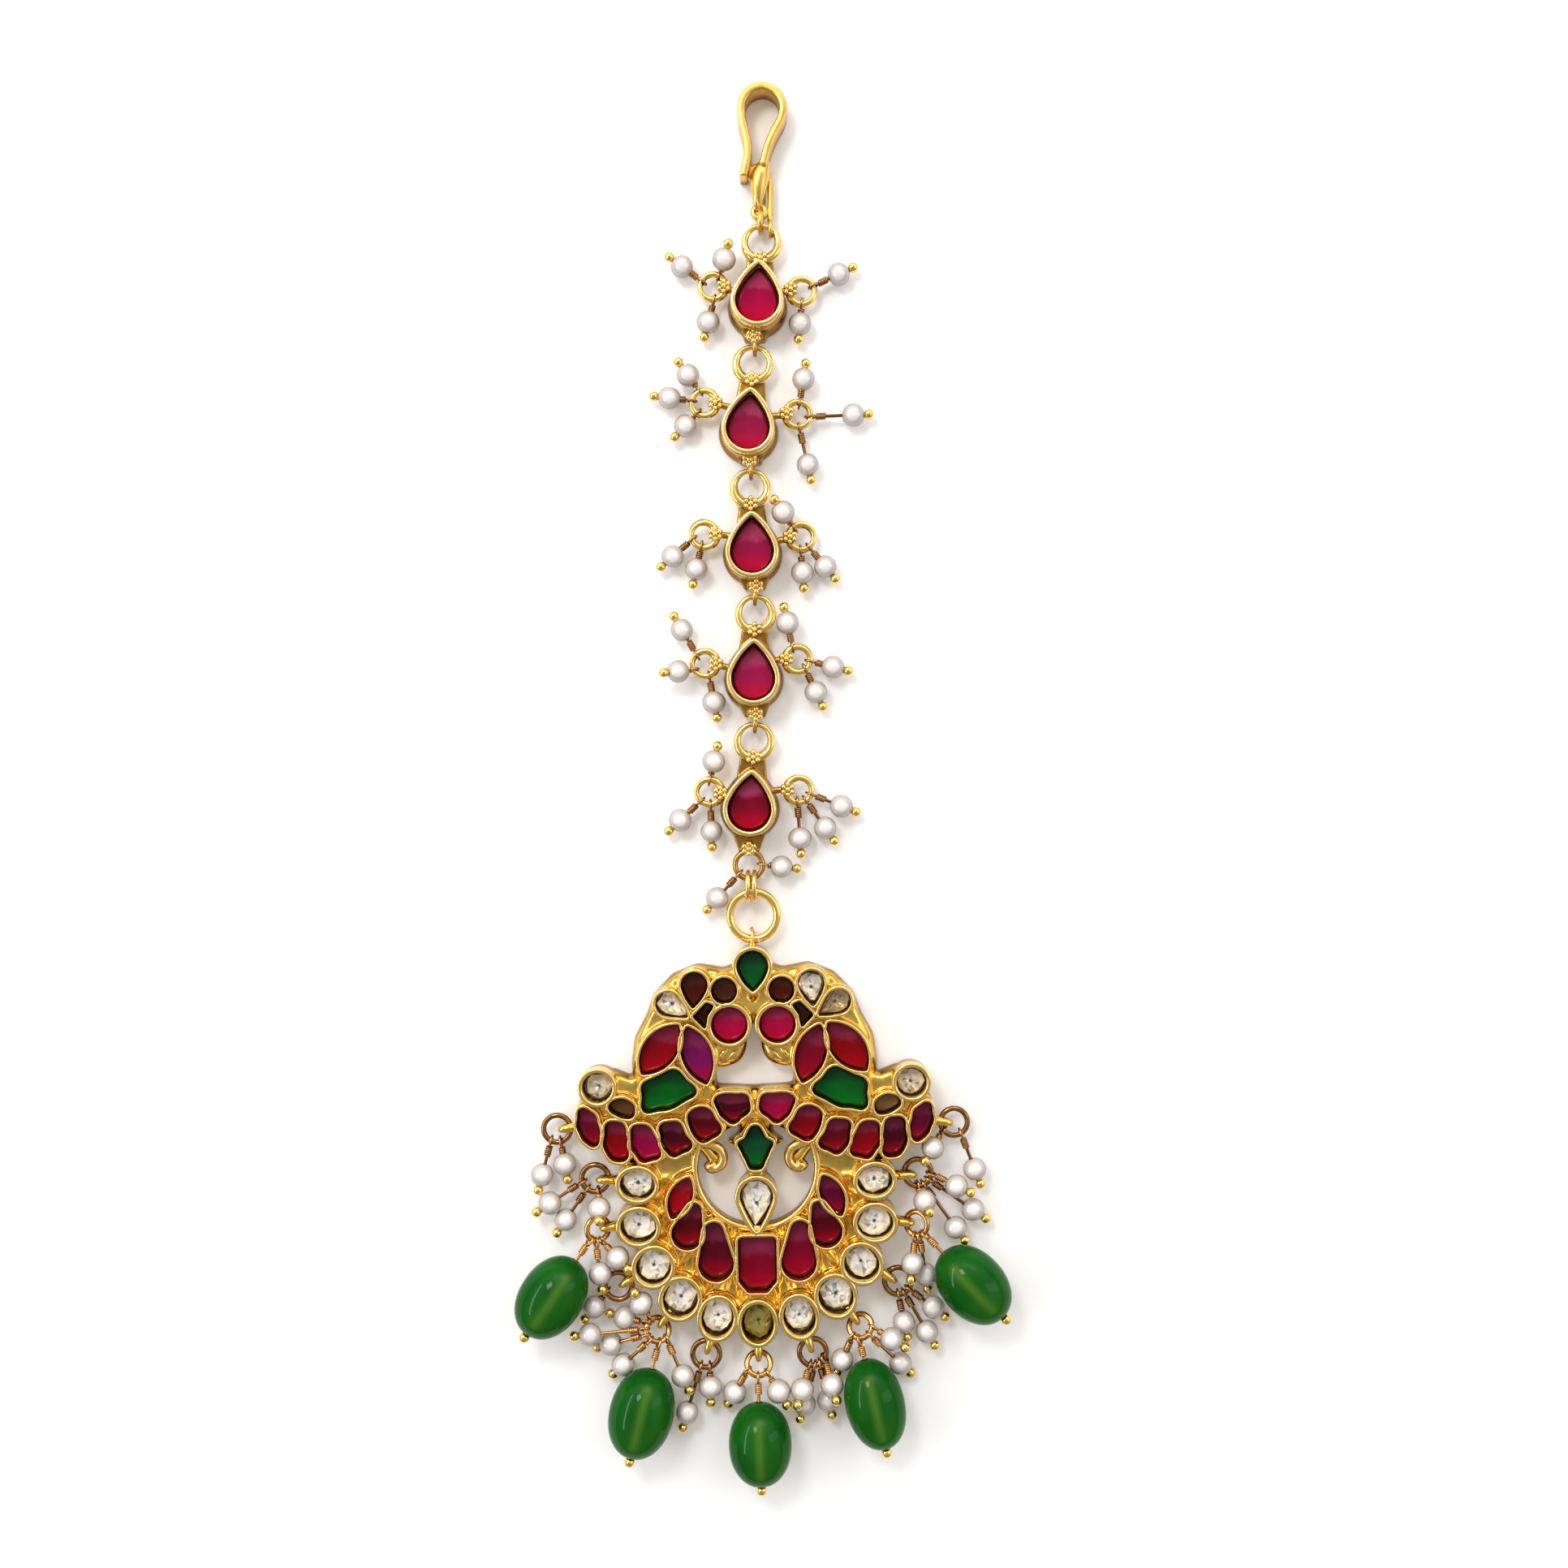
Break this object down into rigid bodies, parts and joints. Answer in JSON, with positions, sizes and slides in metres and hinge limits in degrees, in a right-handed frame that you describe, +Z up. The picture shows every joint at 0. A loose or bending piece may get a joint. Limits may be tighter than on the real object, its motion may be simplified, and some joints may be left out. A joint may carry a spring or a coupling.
{
  "type": "maang tikka",
  "caption": "Forehead ornament: hook, chain of pear-cut stone cups with pearl drops, and a crescent pendant with two facing peacocks and oval bead drops.",
  "frame": {"origin": "under the middle of the whole piece, on the surface that it lies on", "axes": "+Y along the chain to the hair hook, +Z up through the stones' tops, +X to the right as worn stones face up"},
  "size_m": [0.0582, 0.1658, 0.0078],
  "materials": {
    "gold": "yellow gold, burnished rims and darker hollows",
    "ring_gold": "polished reddish gold wire",
    "ruby": "foil-backed red cut stone",
    "emerald": "foil-backed green cut stone",
    "polki": "silver-foiled clear uncut stone",
    "yellow_green_polki": "foil-backed yellow-green stone",
    "garnet": "dark brown-red tarnished foil stone",
    "pearl": "cream pearl lustre",
    "green_bead": "polished translucent green stone"
  },
  "bodies": {
    "root": {"bead_pins": "ring_gold", "border_polki": "polki", "cluster_pearls_bottom": "pearl", "cluster_pearls_left": "pearl", "cluster_pearls_right": "pearl", "cluster_pins_bottom": "ring_gold", "cluster_pins_left": "ring_gold", "cluster_pins_right": "ring_gold", "collar_ruby_left": "ruby", "collar_ruby_right": "ruby", "crescent_ruby": "ruby", "edge_rings": "ring_gold", "emerald_kite": "emerald", "emerald_tail_left": "emerald", "emerald_tail_right": "emerald", "fan_garnet_left": "garnet", "fan_garnet_right": "garnet", "fan_polki": "polki", "green_bead_1": "green_bead", "green_bead_2": "green_bead", "green_bead_3": "green_bead", "green_bead_4": "green_bead", "green_bead_5": "green_bead", "green_pear": "emerald", "hair_hook": "gold", "hook_links": "ring_gold", "joiner_pearls": "pearl", "joiner_pins": "ring_gold", "joiner_rings": "ring_gold", "link_1": "gold", "link_2": "gold", "link_3": "gold", "link_4": "gold", "link_5": "gold", "link_pearls_1": "pearl", "link_pearls_2": "pearl", "link_pearls_3": "pearl", "link_pearls_4": "pearl", "link_pearls_5": "pearl", "link_pins_1": "ring_gold", "link_pins_2": "ring_gold", "link_pins_3": "ring_gold", "link_pins_4": "ring_gold", "link_pins_5": "ring_gold", "link_stone_1": "ruby", "link_stone_2": "ruby", "link_stone_3": "ruby", "link_stone_4": "ruby", "link_stone_5": "ruby", "lowest_polki": "yellow_green_polki", "pendant_frame": "gold", "pendant_ring": "ring_gold", "polki_drop": "polki", "ruby_head_left": "ruby", "ruby_head_right": "ruby", "ruby_wing_left": "ruby", "ruby_wing_right": "ruby", "scroll_garnet": "garnet", "scroll_polki": "polki"}
  },
  "joints": []
}
